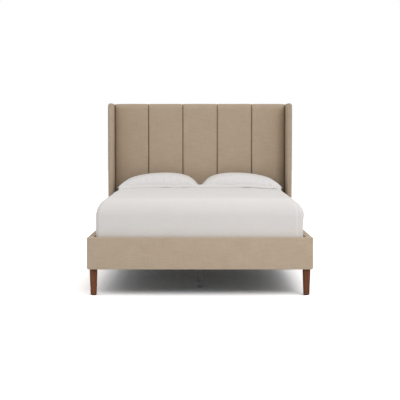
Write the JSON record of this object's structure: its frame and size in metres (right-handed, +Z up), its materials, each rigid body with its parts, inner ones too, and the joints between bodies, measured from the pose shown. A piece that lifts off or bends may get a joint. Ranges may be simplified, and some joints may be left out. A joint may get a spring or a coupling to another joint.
{
  "type": "upholstered headboard bed",
  "caption": "Queen bed with a winged, vertically channelled fabric headboard, padded rails, tapered wooden legs, mattress, coverlet and pillows.",
  "frame": {"origin": "on the floor under the middle of the bed, at the centre of the footprint", "axes": "+Z up, +Y towards the headboard along the bed's length, +X to the right as seen from the foot"},
  "size_m": [1.651, 2.2, 1.466],
  "materials": {
    "oatmeal_linen": "matte",
    "foam": "matte",
    "plywood": "satin",
    "hardboard": "satin",
    "pine": "satin",
    "walnut": "satin",
    "black_steel": "satin",
    "grey_steel": "satin",
    "zinc_steel": "satin",
    "black_nylon": "satin",
    "grey_nylon": "satin",
    "webbing": "matte",
    "ticking": "matte",
    "white_bedding": "matte",
    "white_pillowcase": "matte",
    "pillow_ticking": "matte"
  },
  "bodies": {
    "bed_frame": {"beam_hangers": "black_steel", "centre_beam": "pine", "channel_cover_1": "oatmeal_linen", "channel_cover_2": "oatmeal_linen", "channel_cover_3": "oatmeal_linen", "channel_cover_4": "oatmeal_linen", "channel_cover_5": "oatmeal_linen", "channel_foams": "foam", "foot_corner_bracket_left": "black_steel", "foot_corner_bracket_right": "black_steel", "foot_rail_board": "pine", "foot_rail_cover": "oatmeal_linen", "foot_rail_foam": "foam", "front_leg_left": "walnut", "front_leg_right": "walnut", "headboard_back_board": "hardboard", "headboard_back_cover": "oatmeal_linen", "headboard_cross_rails": "pine", "headboard_deck": "plywood", "headboard_post_left": "pine", "headboard_post_right": "pine", "leg_glides": "black_nylon", "leg_plates": "black_steel", "leg_studs": "zinc_steel", "rail_bolts": "zinc_steel", "rail_joint_plate_left": "black_steel", "rail_joint_plate_right": "black_steel", "rear_leg_left": "walnut", "rear_leg_right": "walnut", "side_rail_board_left": "pine", "side_rail_board_right": "pine", "side_rail_cover_left": "oatmeal_linen", "side_rail_cover_right": "oatmeal_linen", "side_rail_foam_left": "foam", "side_rail_foam_right": "foam", "slat_ledger_left": "pine", "slat_ledger_right": "pine", "slat_webbing": "webbing", "slats": "pine", "support_leg_1": "grey_steel", "support_leg_2": "grey_steel", "support_leg_3": "grey_steel", "wing_board_left": "plywood", "wing_board_right": "plywood", "wing_bolts": "zinc_steel", "wing_cover_left": "oatmeal_linen", "wing_cover_right": "oatmeal_linen", "wing_foam_left": "foam", "wing_foam_right": "foam"},
    "mattress": {"mattress_core": "foam", "mattress_cover": "ticking", "coverlet": "white_bedding", "sheet_turndown": "white_bedding"},
    "pillow_left": {"pillow_left": "pillow_ticking", "pillowcase_left": "white_pillowcase"},
    "pillow_right": {"pillow_right": "pillow_ticking", "pillowcase_right": "white_pillowcase"},
    "leveller_1": {"leveller_1": "grey_nylon"},
    "leveller_2": {"leveller_2": "grey_nylon"},
    "leveller_3": {"leveller_3": "grey_nylon"}
  },
  "joints": [
    {"name": "mattress_lift", "type": "slide", "parent": "bed_frame", "child": "mattress", "axis": [0, 0, 1], "range_m": [0, 0.4]},
    {"name": "pillow_left_lift", "type": "slide", "parent": "mattress", "child": "pillow_left", "axis": [0, 0, 1], "range_m": [0, 0.3]},
    {"name": "pillow_right_lift", "type": "slide", "parent": "mattress", "child": "pillow_right", "axis": [0, 0, 1], "range_m": [0, 0.3]},
    {"name": "leveller_1_screw", "type": "slide", "parent": "bed_frame", "child": "leveller_1", "axis": [0, 0, 1], "range_m": [-0.01, 0.015]},
    {"name": "leveller_2_screw", "type": "slide", "parent": "bed_frame", "child": "leveller_2", "axis": [0, 0, 1], "range_m": [-0.01, 0.015]},
    {"name": "leveller_3_screw", "type": "slide", "parent": "bed_frame", "child": "leveller_3", "axis": [0, 0, 1], "range_m": [-0.01, 0.015]}
  ]
}
